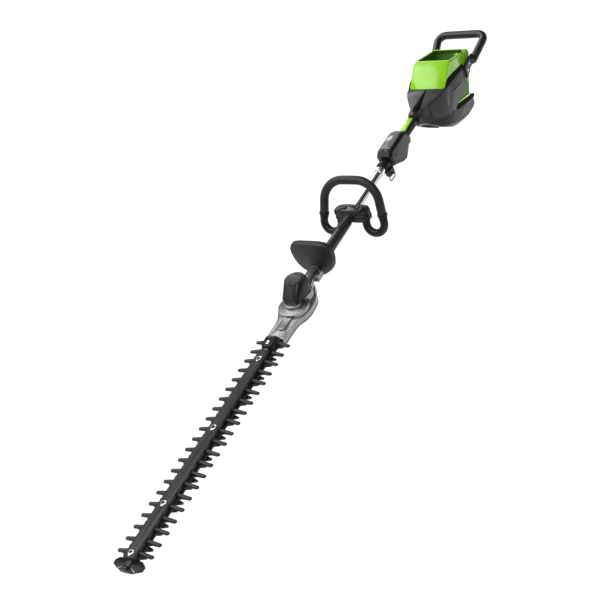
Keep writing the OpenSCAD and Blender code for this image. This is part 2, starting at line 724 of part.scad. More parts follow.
// Wire ring, an oblong with round ends; its top side turns in the lug
ring_half = 15;
ring_drop = 30;
ring_corner = 8;
module ring_arc(x, z, a0) {
    translate([x, 0, z]) rotate([90, 0, 0]) rotate([0, 0, a0]) rotate_extrude(angle = 90)
        translate([ring_corner, 0]) circle(r = ring_wire_r, $fn = 24);
}
module harness_ring() {
    color("#3c3d40") place_controls() translate([harness_mid, -20.5, -12.2]) {
        rod_x(-ring_half + ring_corner - 8, ring_half - ring_corner + 8, ring_wire_r);
        for (side = [-1, 1]) {
            translate([side * (ring_half + 2), 0, -2]) sphere(r = ring_wire_r, $fn = 24);
            rod_z(-ring_drop + ring_corner, -2, ring_wire_r, side * (ring_half + 2));
            translate([side * (ring_half + 1), 0, -1]) rotate([0, side * 45, 0])
                cylinder(r = ring_wire_r, h = 3.2, center = true, $fn = 24);
        }
        ring_arc(ring_half + 2 - ring_corner, -ring_drop + ring_corner, -90);
        ring_arc(-ring_half - 2 + ring_corner, -ring_drop + ring_corner, 180);
        rod_x(-ring_half - 2 + ring_corner, ring_half + 2 - ring_corner, ring_wire_r, 0, -ring_drop);
    }
}

// ---- Control housing --------------------------------------------------------
panel_top = 39;
module control_solid(shrink) {
    s = shrink;
    hull() {
        side_plate([[1423 + s, 24 - s], [1436 + s, panel_top - 3 - s], [1530, panel_top - 3 - s],
            [1554 - s, 25 - s], [1562 - s, 6], [1562 - s, -14 + s], [1530, -18 + s],
            [1430 + s, -14 + s]], -18, 18);
        side_plate([[1427 + s, 19 - s], [1444 + s, 31 - s], [1526, 31 - s], [1548 - s, 19 - s],
            [1557 - s, 0], [1552 - s, -12 + s], [1436 + s, -11 + s]], -control_half + s, control_half - s);
    }
    // belly that carries the trigger
    hull() {
        side_plate([[1448 + s, -8], [1552 - s, -8], [1556 - s, -20], [1524 - s / 2, -53 + s],
            [1502, -50 + s], [1446 + s, -24 + s]], -11, 11);
        side_plate([[1450 + s, -6], [1550 - s, -6], [1550 - s, -18], [1516, -46 + s], [1496, -42 + s],
            [1450 + s, -19 + s]], -19 + s, 19 - s);
    }
}
trigger_x = 1568;
trigger_z = -20.5;
trigger_half = 5.5;
module trigger_room() {
    block([1505, 1575], [-6.1, 6.1], [-60, -16.2]);
}
module control_shell() {
    difference() {
        control_solid(0);
        control_solid(2.5);
        rod_x(1420, 1466, tube_r + 0.05);
        rod_x(1540, 1572, neck_r + 0.2);
        trigger_room();
        // seat of the panel
        block([1445.8, 1532.2], [-16.2, 16.2], [panel_top - 5.5, panel_top + 2]);
        control_screw_holes();
    }
    // ribs that hold the tube and the switch, and the screws' bosses
    difference() {
        intersection() {
            control_solid(1);
            union() {
                block([1466, 1469], [-30, 30], [-30, 30]);
                block([1506, 1508], [-30, 30], [-14, 30]);
                for (p = control_screw_xz) rod_y(-30, 30, 4, p[0], p[1]);
            }
        }
        rod_x(1420, 1560, tube_r + 0.05);
        control_screw_holes();
        block([1445.8, 1532.2], [-16.2, 16.2], [panel_top - 8, panel_top + 2]);
    }
}
control_screw_xz = [[1444, 19], [1461, -18.6], [1545, 18]];
control_screw_seat = 16;
module control_screw_holes() {
    for (p = control_screw_xz) {
        rod_y(-control_screw_seat - 1, control_screw_seat, 1.9, p[0], p[1]);
        rod_y(-30, -control_screw_seat, 3.3, p[0], p[1]);
    }
}
module half_space(side) {
    translate([0, side > 0 ? 0.1 : -400.1, -400]) cube([3000, 400, 800]);
}
module control_shell_left() {
    color("#4a4b4e") place_controls() intersection() { control_shell(); half_space(-1); }
}
module control_shell_right() {
    color("#4a4b4e") place_controls() intersection() { control_shell(); half_space(1); }
}
module control_panel() {
    color("#8f9196") place_controls() {
        side_plate([[1446, panel_top - 5.3], [1446, panel_top - 2], [1450, panel_top], [1526, panel_top],
            [1532, panel_top - 2], [1532, panel_top - 5.3]], -15, 15);
        block([1446, 1532], [-16, 16], [panel_top - 5.3, panel_top - 2.5]);
    }
}
module trigger() {
    color("#3b3c3f") place_controls() difference() {
        union() {
            side_plate([[1571.5, -20.5], [1569, -24.5], [1556, -33], [1543, -47], [1534, -50], [1524, -46],
                [1518, -36], [1520, -31], [1545, -24.5], [1562, -18.5]], -trigger_half, trigger_half);
            rod_y(-trigger_half, trigger_half, 4, trigger_x, trigger_z);
        }
        rod_y(-30, 30, 1.5 + run, trigger_x, trigger_z);
        // seat of the return spring
        rod_z(-40, -20, 3.2, 1528);
    }
}
module trigger_pin() {
    color("#b9bcc0") place_controls() rod_y(-7.6, 7.6, 1.5, trigger_x, trigger_z);
}
// Return spring: a helix of short straight runs
spring_turns = 4;
module coil_spring(r, wire, h, turns) {
    per = 12;
    n = turns * per;
    ring = 6;
    verts = [for (i = [0:n], k = [0:ring - 1]) let (a = 360 * i / per, b = 360 * k / ring)
        [(r + wire * cos(b)) * cos(a), (r + wire * cos(b)) * sin(a), h * i / n + wire * sin(b)]];
    faces = concat(
        [[for (k = [ring - 1:-1:0]) k]],
        [for (i = [0:n - 1], k = [0:ring - 1]) let (a = i * ring, b = a + ring, k2 = (k + 1) % ring)
            [a + k, a + k2, b + k2, b + k]],
        [[for (k = [0:ring - 1]) n * ring + k]]);
    polyhedron(verts, faces);
}
module trigger_spring() {
    color("#c4c7ca") place_controls() translate([1528, 0, -39]) coil_spring(2.2, 0.4, 25.7, spring_turns);
}
module trigger_switch() {
    color("#2a2a2c") place_controls() {
        block([1480, 1504], [-8, 8], [-30, -17]);
        block([1504, 1511], [-3, 3], [-29, -25]);
        for (y = [-5, 0, 5]) block([1476.5, 1480], [y - 0.8, y + 0.8], [-26, -20]);
    }
}

// ---- Neck -------------------------------------------------------------------
neck_x1 = 1668;
lever_x0 = 1566;
lever_x1 = 1628;
lever_half = 6.6;
lever_pin_x = 1572;
lever_pin_z = 9;
module neck_solid() {
    rod_x(tube_end + 1, neck_x1, neck_r);
}
module grip_shell() {
    difference() {
        union() {
            difference() {
                neck_solid();
                rod_x(tube_end, neck_x1 + 1, neck_r - 2.6);
                // slot of the lock-off lever
                block([lever_x0 - 1.5, lever_x1 + 1.5], [-lever_half - 0.5, lever_half + 0.5], [5, 30]);
                block([1540, 1575], [-6.1, 6.1], [-30, 0]);
            }
            // ears for the trigger's pin and the lever's pin
            for (side = [0, 1]) mirror([0, side, 0]) {
                rod_y(6.4, 10.4, 4.6, trigger_x, trigger_z);
                block([trigger_x - 4.6, trigger_x + 4.6], [6.4, 10.4], [trigger_z, -9]);
                rod_y(lever_half + 0.5, 9, 2.6, lever_pin_x, lever_pin_z);
            }
            // boss of the screw that joins the two shells
            intersection() {
                neck_solid();
                rod_y(-20, 20, 4, neck_screw_x, 0);
            }
        }
        rod_y(-7.8, 7.8, 1.52, trigger_x, trigger_z);
        rod_y(-8.5, 8.5, 1.22, lever_pin_x, lever_pin_z);
        rod_y(-12, 12, 1.9, neck_screw_x, 0);
        rod_y(-20, -11.5, 3.1, neck_screw_x, 0);
    }
}
neck_screw_x = 1640;
module grip_shell_left() {
    color("#1d1d1f") place_controls() intersection() { grip_shell(); half_space(-1); }
}
module grip_shell_right() {
    color("#1d1d1f") place_controls() intersection() { grip_shell(); half_space(1); }
}
module lockoff_lever() {
    color("#a6e22e") place_controls() difference() {
        union() {
            side_plate([[lever_x0, 11], [lever_x0, 18], [lever_x0 + 8, 21], [lever_x1 - 8, 22],
                [lever_x1, 20], [lever_x1, 14.6], [lever_pin_x + 6, 13.6], [lever_pin_x + 3, 7.5],
                [lever_pin_x - 3, 6.5]],
                -lever_half, lever_half);
            rod_y(-lever_half, lever_half, 2.8, lever_pin_x, lever_pin_z);
        }
        rod_y(-20, 20, 1.2 + run, lever_pin_x, lever_pin_z);
    }
}
module lockoff_pin() {
    color("#b9bcc0") place_controls() rod_y(-8.4, 8.4, 1.2, lever_pin_x, lever_pin_z);
}

// ---- Rear body --------------------------------------------------------------
// Side view of the battery bay: sloping hood in front, leaning mouth on top
bay_side = [[1852, 75], [1776, 24], [1784, -20], [1792, -58], [1800, -69], [1914, -99], [1926, -94],
    [1946, -42], [1972, -6], [1994, 22], [1995, 29], [1988, 34]];
// Plan of the bay: the hood narrows towards the front rim
bay_room_side = [[1866, 90], [1858, 64], [1822, -62], [1908, -90], [1919, -89], [1941, -42], [1967, -5],
    [1985, 20], [1984, 60]];
bay_wall_side = 7;
// Slope of the mouth, and the release button on the shoulder at its rear right corner
mouth_slope = atan((bay_side[0][1] - bay_side[11][1]) / (bay_side[11][0] - bay_side[0][0]));
latch_x = 1946;
latch_y = -52;
latch_r = 7.5;
module at_latch() {
    translate([latch_x, latch_y, bay_side[0][1] - (latch_x - bay_side[0][0]) * tan(mouth_slope)])
        rotate([0, mouth_slope, 0]) children();
}
module bay_body() {
    hull() {
        side_plate(bay_side, -bay_half + 7, bay_half - 7);
        side_plate([[1850, 70], [1784, 24], [1790, -20], [1800, -62], [1912, -92], [1922, -90], [1940, -42],
            [1988, 24], [1982, 30]], -bay_half, bay_half);
    }
}
module battery_bay() {
    color("#8fd400") place_rear() difference() {
        bay_body();
        // room for the battery, open above, less the shoulder that carries the button
        difference() {
            side_plate(bay_room_side, -bay_half + bay_wall_side, bay_half - bay_wall_side);
            at_latch() block([-26, 60], [-20, 9.5], [-18, 20]);
        }
        // hood and the space under it, open towards the front shell
        side_plate([[1846, 66], [1784, 24], [1788, -20], [1796, -56], [1816, -58], [1852, 62]],
            -bay_half + 5, bay_half - 5);
        block([1770, 1800], [-44, 44], [-48, 12]);
        // keyways of the battery's rails
        for (side = [-1, 1]) translate([1880, side * (bay_half - 6), 0]) rotate([0, 17, 0])
            cube([8, 4, 100], center = true);
        at_latch() rod_z(-14.5, 20, latch_r + 0.2, 0);
        for (p = concat(cover_screw_xz, rear_screw_xz), side = [0, 1])
            mirror([0, side, 0]) rod_y(bay_half - 4, bay_half + 1, 2, p[0], p[1]);
    }
}
// Row of blade contacts at the bottom of the bay
module bay_terminal() {
    color("#2b2b2d") place_rear() translate([1866, 0, -76.1]) rotate([0, 18, 0]) {
        translate([0, 0, 5.1]) cube([26, 62, 10], center = true);
        for (y = [-24, -12, 0, 12, 24]) translate([0, y, 18]) cube([16, 1.6, 17], center = true);
    }
}
module battery_latch() {
    color("#1a1a1b") place_rear() at_latch() rod_z(-7.5, 6, latch_r, 0);
}
module latch_spring() {
    color("#c4c7ca") place_rear() at_latch() translate([0, 0, -13.9]) coil_spring(4, 0.5, 5.8, 3);
}
// Nose between the neck and the bay
nose_plan = [[1656, 17], [1680, 20], [1698, 26], [1716, 36], [1740, 49.5], [1764, bay_half],
    [1800, bay_half]];
module nose(s) {
    intersection() {
        side_plate([[1656, 9 - s], [1690, 13 - s], [1740, 20 - s], [1779, 23.6 - s], [1783.4 + s, -20],
            [1791.4 + s, -58], [1800, -69.5 + s], [1760, -66 + s], [1700, -50 + s], [1678 + s, -34 + s],
            [1656, -25 + s]], -80, 80);
        plan_plate([for (p = nose_plan) [p[0], p[1] - s]], -100, 40);
    }
}
module front_shell() {
    color("#55575a") place_rear() difference() {
        intersection() {
            nose(0);
            // slanted rear face that meets the bay's front wall
            side_plate([[1650, 30], [1775.6, 30], [1775.6, 23.6], [1783.4, -20], [1791.4, -58],
                [1799, -69.5], [1650, -69.5]], -80, 80);
        }
        difference() {
            nose(wall);
            block([1640, 1664], [-40, 40], [-40, 40]);
        }
        rod_x(1650, 1682, neck_r + 0.1, 0, -rear_rise);
        for (p = cover_screw_xz) rod_y(-80, 80, 2, p[0], p[1]);
    }
}
// Belly under the body, holding the controller
// The middle strip is drawn deeper than the two sides, with a hull between them
belly_mid = [[1679, -36], [1684, -40], [1706, -62], [1732, -86], [1760, -108], [1795, -130], [1826, -143],
    [1852, -149], [1926, -149], [1944, -141], [1953, -126], [1951, -108], [1900, -60]];
belly_edge = [[1700, -50], [1732, -78], [1788, -111], [1824, -126], [1852, -137], [1884, -143], [1930, -143],
    [1942, -135], [1949, -120], [1948, -104], [1900, -60]];
belly_flat_half = 44;
belly_plan = [[1674, 17], [1692, 24], [1716, 36], [1750, 54], [1778, bay_half], [1940, bay_half],
    [1953, bay_half - 8]];
belly_roof = [[1660, -30], [1677, -34.4], [1699.6, -50.4], [1759.8, -66.4], [1799, -69.9], [1914.4, -99.6],
    [1953, -109], [1953, 0], [1660, 0]];
module belly(s) {
    intersection() {
        hull() {
            side_plate([for (p = belly_mid) [p[0], p[1] + s]], -belly_flat_half, belly_flat_half);
            side_plate([for (p = belly_edge) [p[0], p[1] + s]], -bay_half, bay_half);
        }
        plan_plate([for (p = belly_plan) [p[0] - s, p[1] - s]], -150, 0);
    }
}
module lower_housing() {
    color("#3a3b3e") place_rear() difference() {
        belly(0);
        side_plate(belly_roof, -80, 80);
        intersection() {
            belly(wall);
            side_plate([[1690, -20], [1700, -50], [1953, -50], [1945, -150], [1690, -150]], -80, 80);
            // the tray is open above, inside its rim
            union() {
                side_plate([for (p = belly_roof) [p[0], p[1] - wall]], -80, 80);
                plan_plate([for (p = belly_plan) [p[0] - wall, p[1] - wall - 3]], -150, 0);
            }
        }
        // cooling slots in the floor
        for (i = [0:5]) block([1776 + 13 * i, 1782 + 13 * i], [-24, 24], [-150, -100]);
    }
}
module controller() {
    color("#77797d") place_rear() {
        translate([1800, 0, -98]) rotate([0, 14.4, 0]) {
            translate([0, 0, 4]) cube([70, 64, 5], center = true);
            for (i = [-3:3]) translate([0, 9 * i, -4]) cube([70, 2, 13], center = true);
        }
    }
}
// Side covers: curved plates that follow the nose's taper and end at the rear handle's feet
cover_side = [[1706, 8], [1740, 15], [1778, 21], [1896, 9], [1924, 5], [1924, -43], [1822, -65],
    [1796, -76], [1786, -64], [1730, -52], [1708, -34]];
cover_out = bay_half + 4;
cover_plan = [[1706, 30.8], [1716, 36.4], [1740, 50], [1764, bay_half + 0.3], [1924, bay_half + 0.3],
    [1924, cover_out], [1767, cover_out], [1741, 54.5], [1716, 40.5], [1706, 34.5]];
module side_cover() {
    difference() {
        intersection() {
            side_plate(cover_side, 20, 80);
            translate([0, 0, -100]) linear_extrude(140) polygon(cover_plan);
        }
        for (p = cover_screw_xz) {
            rod_y(bay_half - 1, bay_half + 8, 2, p[0], p[1]);
            rod_y(cover_out - 1.8, cover_out + 3, 3.6, p[0], p[1]);
        }
    }
}
cover_screw_xz = [[1772, -40], [1800, 2], [1912, -22]];
module side_cover_left() { color("#56585b") place_rear() mirror([0, 1, 0]) side_cover(); }
module side_cover_right() { color("#56585b") place_rear() side_cover(); }

// Rear handle: a U of tube that leaves the side covers and rises to a cross bar
bar_x = 2090;
bar_z = 26;
arm_y = 80;
foot_y = 68.5;
bend_R = 26;
foot_x = 1985;
foot_z = -8;
rear_dx = bar_x - foot_x;
rear_slope = atan((bar_z - foot_z) / rear_dx);
arm_len = rear_dx / cos(rear_slope);
module rear_plane() { translate([foot_x, 0, foot_z]) rotate([0, -rear_slope, 0]) children(); }
rear_half = concat([[0, foot_y, 0]],
    [for (q = arc_points(arm_len - bend_R, arm_y - bend_R, bend_R, 90, 0, 9)) q]);
module rear_handle() {
    n = len(rear_half);
    color("#232326") place_rear() {
        rear_plane() sweep_tube(
            concat(rear_half, [for (i = [n - 1:-1:0]) [rear_half[i][0], -rear_half[i][1], 0]]), rear_r, 20);
        for (side = [0, 1]) mirror([0, side, 0]) rear_foot();
    }
}
// Flat foot that carries each arm on the bay's side, held by two screws
rear_screw_xz = [[1940, -14], [1960, -2]];
module rear_foot() {
    foot_in = bay_half + 0.3;
    foot_out = bay_half + 8;
    difference() {
        side_plate([[1925, 4], [1925, -34], [1936, -32], [1958, -19], [1982, -15], [2000, -12], [1994, 13],
            [1956, 11]], foot_in, foot_out);
        for (p = rear_screw_xz) {
            rod_y(foot_in - 1, foot_out + 1, 2, p[0], p[1]);
            rod_y(foot_out - 2, foot_out + 1, 4, p[0], p[1]);
        }
    }
}
module rear_handle_screws() {
    color("#c9cccf") place_rear() for (side = [0, 1], p = rear_screw_xz)
        mirror([0, side, 0]) {
            rod_y(bay_half - 3.5, bay_half + 6.1, 1.9, p[0], p[1]);
            rod_y(bay_half + 6.05, bay_half + 8.3, 3.8, p[0], p[1]);
        }
}
module housing_screws() {
    color("#2c2d2f") {
        place_rear() for (side = [0, 1], p = cover_screw_xz) mirror([0, side, 0]) {
            rod_y(bay_half - 3.5, cover_out - 1.7, 1.9, p[0], p[1]);
            rod_y(cover_out - 1.75, cover_out - 0.3, 3.4, p[0], p[1]);
        }
        place_controls() {
            for (p = control_screw_xz) {
                rod_y(-control_screw_seat - 0.2, control_screw_seat - 1, 1.8, p[0], p[1]);
                rod_y(-control_screw_seat - 2.4, -control_screw_seat - 0.1, 3.1, p[0], p[1]);
            }
            rod_y(-11.7, 11, 1.8, neck_screw_x, 0);
            rod_y(-13.6, -11.6, 2.9, neck_screw_x, 0);
        }
    }
}

tip_guard();
comb_guard();
guide_bar();
cutter_blade_upper();
cutter_blade_lower();
blade_bolts();
blade_shields();
blade_nuts();
root_cap();
root_screw();
gearbox_upper_case();
gearbox_lower_case();
gearbox_screws();
crank_gear();
head_bearings();
motor_shaft();
motor_rotor();
motor_stator();
motor_cover();
motor_lid();
motor_lid_screws();
motor_cable();
tube_clamp_screws();
main_tube();
tube_sleeve();
hand_shield();
loop_grip();
loop_bracket_left();
loop_bracket_right();
loop_screws();
handle_clamp_upper();
handle_clamp_lower();
clamp_bolts();
chrome_collar();
harness_clamp();
harness_ring();
control_shell_left();
control_shell_right();
control_panel();
trigger();
trigger_pin();
trigger_spring();
trigger_switch();
lockoff_lever();
lockoff_pin();
grip_shell_left();
grip_shell_right();
battery_bay();
bay_terminal();
battery_latch();
latch_spring();
front_shell();
side_cover_left();
side_cover_right();
lower_housing();
controller();
rear_handle();
rear_handle_screws();
housing_screws();
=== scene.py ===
"""Looks of the pole hedge trimmer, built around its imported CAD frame.  Metres, row frame."""
import json
import math

import bmesh
import bpy
from mathutils import Matrix, Vector

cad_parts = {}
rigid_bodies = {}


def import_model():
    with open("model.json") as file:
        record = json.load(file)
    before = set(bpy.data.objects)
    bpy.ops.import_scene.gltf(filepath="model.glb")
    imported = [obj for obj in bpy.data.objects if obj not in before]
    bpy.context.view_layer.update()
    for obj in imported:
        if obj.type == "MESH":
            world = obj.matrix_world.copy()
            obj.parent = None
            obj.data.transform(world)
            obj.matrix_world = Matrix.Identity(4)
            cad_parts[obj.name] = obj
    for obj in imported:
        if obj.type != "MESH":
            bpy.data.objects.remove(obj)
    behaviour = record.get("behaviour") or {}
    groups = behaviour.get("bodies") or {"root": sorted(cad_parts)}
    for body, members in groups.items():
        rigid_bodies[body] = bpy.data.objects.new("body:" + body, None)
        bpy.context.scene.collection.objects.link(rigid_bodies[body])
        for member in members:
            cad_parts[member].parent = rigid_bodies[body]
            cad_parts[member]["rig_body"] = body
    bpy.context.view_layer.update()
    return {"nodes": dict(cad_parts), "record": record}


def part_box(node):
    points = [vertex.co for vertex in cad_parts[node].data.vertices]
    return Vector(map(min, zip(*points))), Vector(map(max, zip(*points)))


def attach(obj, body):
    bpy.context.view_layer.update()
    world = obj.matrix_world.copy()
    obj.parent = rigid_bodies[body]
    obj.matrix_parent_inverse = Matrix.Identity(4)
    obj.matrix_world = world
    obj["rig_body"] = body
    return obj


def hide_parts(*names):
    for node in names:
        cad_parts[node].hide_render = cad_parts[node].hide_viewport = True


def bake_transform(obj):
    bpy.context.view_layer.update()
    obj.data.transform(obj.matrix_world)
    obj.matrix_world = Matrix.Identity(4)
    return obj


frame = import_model()
NODES = frame["nodes"]
SLOT_OF = {s["node"]: s["material_slot"] for s in frame["record"]["subparts"]}

MM = 0.001
# The pole's axis runs along X at this height; drawing lengths are millimetres from the last tooth
POLE_Z = (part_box("main_tube")[0].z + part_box("main_tube")[1].z) / 2
MID_X = 1027.5


def at(x, y, z):
    """Drawing point in millimetres, X from the last tooth and Z from the pole's axis."""
    return Vector(((x - MID_X) * MM, y * MM, POLE_Z + z * MM))


def drawn(v):
    """The other way round: a point of the frame in drawing millimetres."""
    return v.x / MM + MID_X, v.y / MM, (v.z - POLE_Z) / MM


# ---- Materials -----------------------------------------------------------------------------
def new_material(name, color, rough, metallic=0.0, specular=0.5, coat=0.0, coat_rough=0.1):
    """Principled material whose constants sit on the shader's own sockets."""
    mat = bpy.data.materials.new(name)
    mat.use_nodes = True
    shader = mat.node_tree.nodes["Principled BSDF"]
    shader.inputs["Base Color"].default_value = (*color, 1)
    shader.inputs["Roughness"].default_value = rough
    shader.inputs["Metallic"].default_value = metallic
    shader.inputs["Specular IOR Level"].default_value = specular
    shader.inputs["Coat Weight"].default_value = coat
    shader.inputs["Coat Roughness"].default_value = coat_rough
    mat.diffuse_color = (*color, 1)
    return mat


def add(mat, kind, **values):
    """New shader node; each value goes to the socket or property of that name."""
    node = mat.node_tree.nodes.new(kind)
    for key, value in values.items():
        name = key.replace("_", " ").title()
        if name in node.inputs:
            node.inputs[name].default_value = value
        else:
            setattr(node, key, value)
    return node


def link(mat, source, output, target, socket):
    mat.node_tree.links.new(source.outputs[output], target.inputs[socket])


def place_on_object(mat, texture, stretch=(1, 1, 1)):
    """Feeds a texture with the piece's own coordinates, stretched along its axes."""
    coords = add(mat, "ShaderNodeTexCoord")
    mapping = add(mat, "ShaderNodeMapping", Scale=stretch)
    link(mat, coords, "Object", mapping, "Vector")
    link(mat, mapping, "Vector", texture, "Vector")


def vary_color(mat, color, scale, low, high, stretch=(1, 1, 1)):
    """Base colour that drifts between low and high times its value."""
    noise = add(mat, "ShaderNodeTexNoise", Scale=scale, Detail=5.0, Roughness=0.6)
    place_on_object(mat, noise, stretch)
    ramp = add(mat, "ShaderNodeValToRGB")
    ramp.color_ramp.elements[0].position = 0.32
    ramp.color_ramp.elements[1].position = 0.7
    ramp.color_ramp.elements[0].color = (*[c * low for c in color], 1)
    ramp.color_ramp.elements[1].color = (*[min(1, c * high) for c in color], 1)
    link(mat, noise, "Fac", ramp, "Fac")
    link(mat, ramp, "Color", mat.node_tree.nodes["Principled BSDF"], "Base Color")


def vary_roughness(mat, scale, low, high, stretch=(1, 1, 1)):
    noise = add(mat, "ShaderNodeTexNoise", Scale=scale, Detail=6.0, Roughness=0.65)
    place_on_object(mat, noise, stretch)
    spread = add(mat, "ShaderNodeMapRange")
    spread.inputs["From Min"].default_value = 0.3
    spread.inputs["From Max"].default_value = 0.7
    spread.inputs["To Min"].default_value = low
    spread.inputs["To Max"].default_value = high
    link(mat, noise, "Fac", spread, "Value")
    link(mat, spread, "Result", mat.node_tree.nodes["Principled BSDF"], "Roughness")


def add_bump(mat, texture, output, distance, strength=1.0):
    """Height from a texture, added below any bump that is already there."""
    shader = mat.node_tree.nodes["Principled BSDF"]
    bump = add(mat, "ShaderNodeBump", Strength=strength, Distance=distance)
    link(mat, texture, output, bump, "Height")
    if shader.inputs["Normal"].is_linked:
        first = shader.inputs["Normal"].links[0].from_node
        link(mat, first, "Normal", bump, "Normal")
    link(mat, bump, "Normal", shader, "Normal")


def noise_bump(mat, scale, distance, stretch=(1, 1, 1), detail=3.0):
    noise = add(mat, "ShaderNodeTexNoise", Scale=scale, Detail=detail, Roughness=0.55)
    place_on_object(mat, noise, stretch)
    add_bump(mat, noise, "Fac", distance)


def moulded(name, color, rough, grain=0.00006, grain_scale=1500, spread=0.05, specular=0.5, coat=0.0):
    """Moulded plastic: fine spark-eroded grain, faint cloudiness and uneven gloss."""
    mat = new_material(name, color, rough, specular=specular, coat=coat)
    vary_color(mat, color, 26, 0.9, 1.1)
    vary_roughness(mat, 60, rough - spread, rough + spread)
    noise_bump(mat, grain_scale, grain)
    return mat


def metal(name, color, rough, brush=(1, 1, 1), brush_scale=900, depth=0.00002, spread=0.06):
    """Machined, drawn or ground metal: fine lines across the stretched axis."""
    mat = new_material(name, color, rough, metallic=1.0)
    vary_color(mat, color, 40, 0.92, 1.05, brush)
    vary_roughness(mat, 220, max(0.03, rough - spread), rough + spread, brush)
    noise_bump(mat, brush_scale, depth, brush)
    return mat


def cast(name, color, rough):
    """Sand-blasted casting: pits at two scales and mottled gloss."""
    mat = new_material(name, color, rough, metallic=0.85)
    vary_color(mat, color, 55, 0.86, 1.08)
    vary_roughness(mat, 120, rough - 0.08, rough + 0.1)
    pits = add(mat, "ShaderNodeTexVoronoi", Scale=1100.0)
    place_on_object(mat, pits)
    add_bump(mat, pits, "Distance", 0.00012, 0.6)
    noise_bump(mat, 350, 0.00012)
    return mat


LONGWAYS = (0.02, 1, 1)
CROSSWAYS = (1, 0.05, 1)
MAT = {
    "black_plastic": moulded("black plastic", (0.0085, 0.0085, 0.0092), 0.32, specular=0.24),
    "black_steel": moulded("black coated steel", (0.019, 0.0195, 0.0205), 0.42, 0.00007, 900, specular=0.36),
    "cutter_steel": metal("cutter steel", (0.055, 0.056, 0.06), 0.36, CROSSWAYS),
    "bright_steel": metal("zinc plated steel", (0.82, 0.82, 0.81), 0.2),
    "dark_steel": metal("blackened steel", (0.05, 0.052, 0.056), 0.32),
    "gear_steel": metal("gear steel", (0.42, 0.43, 0.44), 0.3),
    "cast_aluminium": cast("cast aluminium", (0.3, 0.302, 0.305), 0.28),
    "cast_aluminium_dark": cast("cast aluminium lower case", (0.2, 0.205, 0.21), 0.44),
    "copper_winding": metal("enamelled copper", (0.45, 0.16, 0.06), 0.35, CROSSWAYS, 1500, 0.0001),
    "grey_plastic": moulded("grey plastic", (0.03, 0.031, 0.0335), 0.36, 0.00007, specular=0.26),
    "panel_plastic": moulded("panel plastic", (0.13, 0.135, 0.145), 0.24, 0.00002, spread=0.04, coat=0.2),
    "cable_rubber": moulded("cable rubber", (0.008, 0.008, 0.008), 0.45, 0.00003, specular=0.3),
    "polished_tube": metal("polished tube", (0.62, 0.63, 0.64), 0.09, LONGWAYS, 700, 0.000006, 0.03),
    "sleeve_plastic": moulded("sleeve plastic", (0.017, 0.0172, 0.0185), 0.34, 0.00003, specular=0.42),
    "shield_plastic": moulded("shield plastic", (0.0125, 0.0125, 0.0135), 0.38, 0.00007, specular=0.34),
    "grip_rubber": moulded("grip rubber", (0.0105, 0.0105, 0.0112), 0.46, 0.00011, 1200, specular=0.36),
    "chrome_plate": metal("chrome plate", (0.92, 0.92, 0.93), 0.06, (1, 1, 1), 300, 0.000004, 0.02),
    "trigger_plastic": moulded("trigger plastic", (0.045, 0.038, 0.036), 0.36, specular=0.4),
    "lime_plastic": moulded("lime plastic", (0.36, 0.72, 0.012), 0.24, 0.00002, coat=0.3),
    "green_plastic": moulded("green plastic", (0.25, 0.6, 0.004), 0.2, 0.00002, spread=0.04, coat=0.45),
    "terminal_plastic": moulded("terminal plastic", (0.02, 0.02, 0.02), 0.4),
    "dark_plastic": moulded("dark plastic", (0.012, 0.0123, 0.0133), 0.36, 0.00008, specular=0.24),
    "handle_plastic": moulded("handle plastic", (0.0095, 0.0095, 0.01), 0.3, 0.00004, specular=0.46),
}
# Second finishes within one slot, all painted light: a dark green as painted shade, a dull near-black as
# painted shade, and a lighter green as painted highlight
GREEN_PAINTED_SHADE = moulded("green painted shade", (0.04, 0.13, 0.002), 0.4, 0.00006, specular=0.35)
BLACK_PAINTED_SHADE = moulded("black painted shade", (0.0035, 0.0035, 0.0038), 0.7, specular=0.06)
GREEN_PAINTED_HIGHLIGHT = moulded("green painted highlight", (0.45, 0.85, 0.08), 0.2, 0.00002, coat=0.45)


# ---- Pieces --------------------------------------------------------------------------------
def finish_mesh(mesh, smooth_angle):
    mesh.shade_smooth()
    mesh.set_sharp_from_angle(angle=math.radians(smooth_angle))


def new_piece(name, mesh, body, slot, smooth_angle=40):
    """Links a mesh that is already in place, gives it its slot's material and its body."""
    piece = bpy.data.objects.new(name, mesh)
    bpy.context.scene.collection.objects.link(piece)
    if not mesh.materials:
        mesh.materials.append(MAT[slot])
    finish_mesh(mesh, smooth_angle)
    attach(piece, body)
    return piece


def repaint(piece, material, chosen, cuts=()):
    """Gives the faces whose middle passes chosen(x, y, z, normal) another finish.

    Each cut is a drawing point and a normal; the mesh is first split along that plane."""
    bm = bmesh.new()
    bm.from_mesh(piece.data)
    for point, normal in cuts:
        bmesh.ops.bisect_plane(bm, geom=bm.verts[:] + bm.edges[:] + bm.faces[:], dist=1e-6,
                               plane_co=at(*point), plane_no=normal)
    index = len(piece.data.materials)
    for face in bm.faces:
        if chosen(*drawn(face.calc_center_median()), face.normal):
            face.material_index = index
    bm.to_mesh(piece.data)
    bm.free()
    piece.data.materials.append(material)


def inside(x, z, outline):
    """Whether a point lies within a closed outline."""
    hit = False
    for (x0, z0), (x1, z1) in zip(outline, outline[1:] + outline[:1]):
        if (z0 > z) != (z1 > z) and x < (x1 - x0) * (z - z0) / (z1 - z0) + x0:
            hit = not hit
    return hit


def solid(name, points, faces, body, slot, material=None, smooth_angle=40):
    """New piece from points and faces, its faces turned outward."""
    mesh = bpy.data.meshes.new(name)
    mesh.from_pydata(points, [], faces)
    bm = bmesh.new()
    bm.from_mesh(mesh)
    bmesh.ops.recalc_face_normals(bm, faces=bm.faces)
    bm.to_mesh(mesh)
    bm.free()
    mesh.materials.append(material or MAT[slot])
    return new_piece(name, mesh, body, slot, smooth_angle)


def strips(rings, sides, closed):
    """Faces between each ring of points and the next, and from the last to the first where closed."""
    faces = []
    for i in range(rings if closed else rings - 1):
        p, q = i * sides, (i + 1) % rings * sides
        faces += [(p + k, p + (k + 1) % sides, q + (k + 1) % sides, q + k) for k in range(sides)]
    return faces


